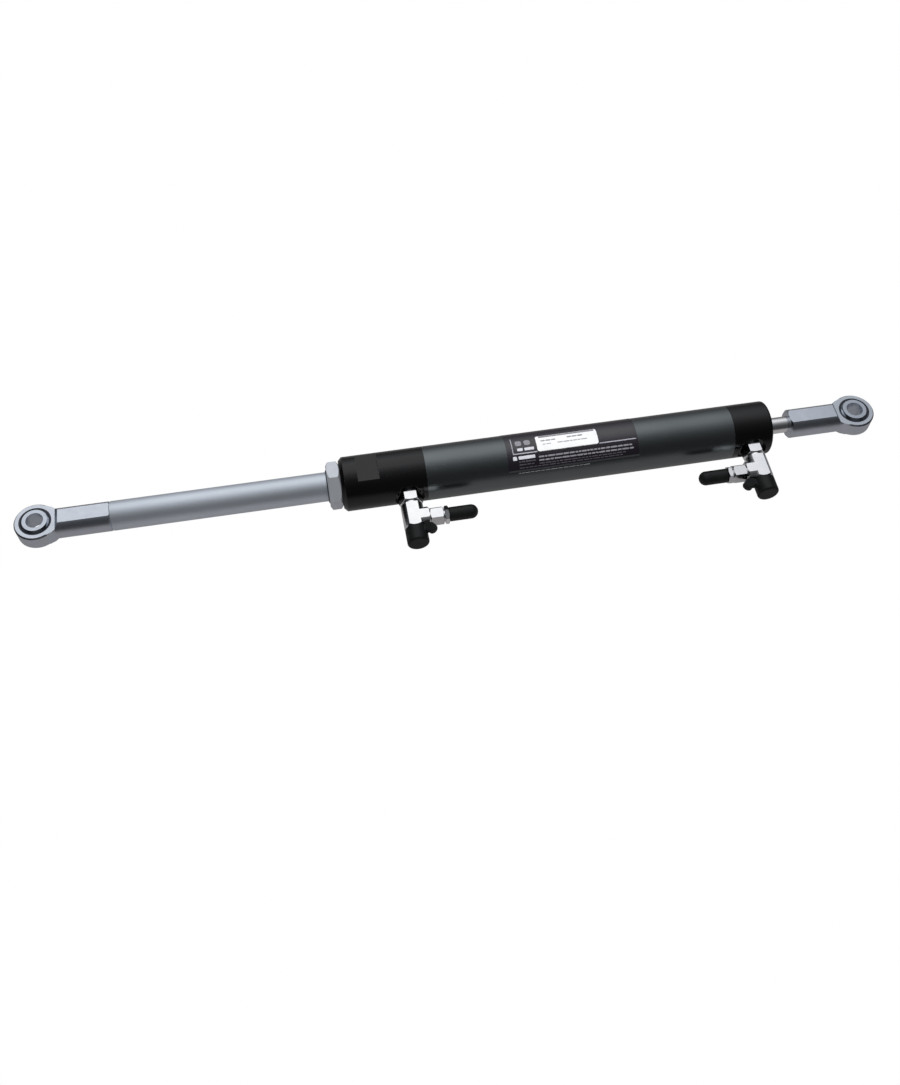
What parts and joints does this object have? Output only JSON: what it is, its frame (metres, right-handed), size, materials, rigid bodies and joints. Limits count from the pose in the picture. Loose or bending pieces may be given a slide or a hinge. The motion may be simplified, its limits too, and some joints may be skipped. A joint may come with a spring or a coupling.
{
  "type": "hydraulic cylinder",
  "caption": "Double-acting tie-in hydraulic cylinder with a sliding rod, ball-jointed eyes at both ends and swivelling port tees with bleed screws and rubber caps.",
  "frame": {"origin": "centre of the ball in the rear eye", "axes": "+X from the front eye to the rear eye along the cylinder, so the rod comes out towards -X; -Y the side that the ports and tees point to; +Z along the bores of the eyes"},
  "size_m": [0.6628, 0.0825, 0.0415],
  "materials": {
    "tube": "satin dark grey-green anodised",
    "head": "gloss black anodised",
    "plated_steel": "satin zinc plated",
    "rod_chrome": "ground hard chrome",
    "ball": "polished",
    "nickel": "bright nickel plated",
    "bronze": "turned bronze",
    "seal": "moulded nitrile rubber",
    "cap_rubber": "moulded black rubber",
    "liner": "woven fluoropolymer liner",
    "label": "gloss laminated film"
  },
  "bodies": {
    "barrel": {"tube": "tube", "front_head": "head", "rear_head": "head", "gland_nut": "plated_steel", "gland_bushing": "bronze", "rod_seal": "seal", "rod_wiper": "seal", "gland_o_ring": "seal", "front_head_o_ring": "seal", "rear_head_o_ring": "seal", "rear_stud": "rod_chrome", "rear_rod_end": "plated_steel", "label": "label", "front_port_nut": "nickel", "rear_port_nut": "nickel", "front_port_washer": "nickel", "rear_port_washer": "nickel", "front_port_o_ring": "seal", "rear_port_o_ring": "seal"},
    "piston_rings": {"piston_seal": "seal", "piston_wear_rings": "bronze"},
    "rod": {"rod": "rod_chrome", "piston": "plated_steel", "piston_nut": "plated_steel", "piston_o_ring": "seal", "front_rod_end": "plated_steel"},
    "front_race": {"front_liner": "liner"},
    "front_ball": {"front_ball": "ball"},
    "rear_race": {"rear_liner": "liner"},
    "rear_ball": {"rear_ball": "ball"},
    "front_tee": {"front_tee": "nickel", "front_bleed_adapter": "nickel"},
    "front_bleed_screw": {"front_bleed_screw": "nickel"},
    "front_bleed_cap": {"front_bleed_cap": "cap_rubber"},
    "front_port_cap": {"front_port_cap": "cap_rubber"},
    "rear_tee": {"rear_tee": "nickel", "rear_bleed_adapter": "nickel"},
    "rear_bleed_screw": {"rear_bleed_screw": "nickel"},
    "rear_bleed_cap": {"rear_bleed_cap": "cap_rubber"},
    "rear_port_cap": {"rear_port_cap": "cap_rubber"}
  },
  "joints": [
    {"name": "rod_slide", "type": "slide", "parent": "barrel", "child": "piston_rings", "axis": [1, 0, 0], "range_m": [0, 0.152]},
    {"name": "rod_turn", "type": "hinge", "parent": "piston_rings", "child": "rod", "pos_m": [-0.308, 0, 0], "axis": [1, 0, 0], "continuous": true},
    {"name": "front_race_turn", "type": "hinge", "parent": "rod", "child": "front_race", "pos_m": [-0.6316, 0, 0], "axis": [0, 0, 1], "continuous": true},
    {"name": "front_ball_tilt", "type": "hinge", "parent": "front_race", "child": "front_ball", "pos_m": [-0.6316, 0, 0], "axis": [1, 0, 0], "range_deg": [-12, 12]},
    {"name": "rear_race_turn", "type": "hinge", "parent": "barrel", "child": "rear_race", "pos_m": [0, 0, 0], "axis": [0, 0, 1], "continuous": true},
    {"name": "rear_ball_tilt", "type": "hinge", "parent": "rear_race", "child": "rear_ball", "pos_m": [0, 0, 0], "axis": [1, 0, 0], "range_deg": [-12, 12]},
    {"name": "front_tee_swivel", "type": "hinge", "parent": "barrel", "child": "front_tee", "pos_m": [-0.357, -0.0399, 0], "axis": [0, -1, 0], "continuous": true},
    {"name": "front_bleed_screw_turn", "type": "hinge", "parent": "front_tee", "child": "front_bleed_screw", "pos_m": [-0.332, -0.0399, 0], "axis": [1, 0, 0], "range_deg": [0, 360]},
    {"name": "front_bleed_cap_pull", "type": "slide", "parent": "front_bleed_screw", "child": "front_bleed_cap", "axis": [1, 0, 0], "range_m": [0, 0.03]},
    {"name": "front_port_cap_pull", "type": "slide", "parent": "front_tee", "child": "front_port_cap", "axis": [0, -1, 0], "range_m": [0, 0.03]},
    {"name": "rear_tee_swivel", "type": "hinge", "parent": "barrel", "child": "rear_tee", "pos_m": [-0.089, -0.0399, 0], "axis": [0, -1, 0], "continuous": true},
    {"name": "rear_bleed_screw_turn", "type": "hinge", "parent": "rear_tee", "child": "rear_bleed_screw", "pos_m": [-0.114, -0.0399, 0], "axis": [-1, 0, 0], "range_deg": [0, 360]},
    {"name": "rear_bleed_cap_pull", "type": "slide", "parent": "rear_bleed_screw", "child": "rear_bleed_cap", "axis": [-1, 0, 0], "range_m": [0, 0.03]},
    {"name": "rear_port_cap_pull", "type": "slide", "parent": "rear_tee", "child": "rear_port_cap", "axis": [0, -1, 0], "range_m": [0, 0.03]}
  ]
}
